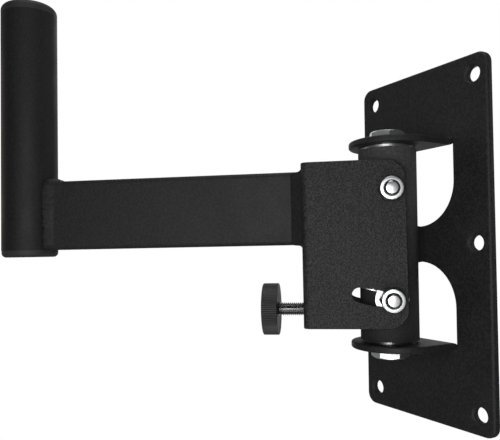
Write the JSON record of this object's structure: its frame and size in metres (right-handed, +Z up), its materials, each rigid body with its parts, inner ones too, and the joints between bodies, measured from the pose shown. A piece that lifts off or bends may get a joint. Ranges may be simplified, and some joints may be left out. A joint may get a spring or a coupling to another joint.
{
  "type": "speaker wall bracket",
  "caption": "Black steel wall bracket for a loudspeaker: wall plate with folded ears, swivelling post, tilting U bracket with thumb screw, and an arm with an upright pole.",
  "frame": {"origin": "middle of the wall plate's back face, on the wall", "axes": "+Z up, +Y into the wall, so that the bracket stands out along -Y; +X is to the right of someone who faces the wall"},
  "size_m": [0.2123, 0.2292, 0.2666],
  "materials": {
    "powder_coat": "fine-textured black powder coat on steel",
    "zinc_steel": "bright zinc-plated steel",
    "nylon": "dark nylon",
    "moulded_black": "satin black moulded plastic"
  },
  "bodies": {
    "wall_plate": {"wall_plate": "powder_coat"},
    "swivel_post": {"swivel_post": "powder_coat", "upper_post_plug": "zinc_steel", "lower_post_plug": "zinc_steel", "upper_thrust_washer": "zinc_steel", "lower_thrust_washer": "zinc_steel", "upper_swivel_bolt": "zinc_steel", "lower_swivel_bolt": "zinc_steel", "pivot_bolt": "zinc_steel", "pivot_nut": "zinc_steel", "pivot_nut_insert": "nylon", "pivot_spacer_left": "zinc_steel", "pivot_spacer_right": "zinc_steel", "slot_bolt": "zinc_steel", "slot_nut": "zinc_steel", "slot_nut_insert": "nylon", "slot_spacer_left": "zinc_steel", "slot_spacer_right": "zinc_steel"},
    "tilt_bracket": {"tilt_bracket": "powder_coat", "weld_nut": "zinc_steel", "arm": "powder_coat", "bracket_weld": "powder_coat", "pole_weld": "powder_coat", "pole": "powder_coat", "pole_cap": "moulded_black", "pole_foot": "moulded_black"},
    "thumb_stud": {"thumb_stud": "zinc_steel"},
    "thumb_knob": {"thumb_knob": "moulded_black"}
  },
  "joints": [
    {"name": "swivel", "type": "hinge", "parent": "wall_plate", "child": "swivel_post", "pos_m": [0, -0.0305, 0], "axis": [0, 0, 1], "range_deg": [-6.5, 83.5]},
    {"name": "tilt", "type": "hinge", "parent": "swivel_post", "child": "tilt_bracket", "pos_m": [0, -0.0305, 0.0305], "axis": [0.7826, -0.6225, 0], "range_deg": [-0.55, 9.45]},
    {"name": "screw_travel", "type": "slide", "parent": "tilt_bracket", "child": "thumb_stud", "axis": [-0.6225, -0.7826, -0.0096], "range_m": [-0.0007, 0.012]},
    {"name": "knob_turn", "type": "hinge", "parent": "thumb_stud", "child": "thumb_knob", "pos_m": [-0.04316, -0.08476, -0.03882], "axis": [-0.6225, -0.7826, -0.0096], "range_deg": [-201, 3445]}
  ],
  "couplings": [
    {"joint": "screw_travel", "follows": "tilt", "m_per_rad": 0.0725},
    {"joint": "knob_turn", "follows": "tilt", "ratio": 364.43}
  ]
}
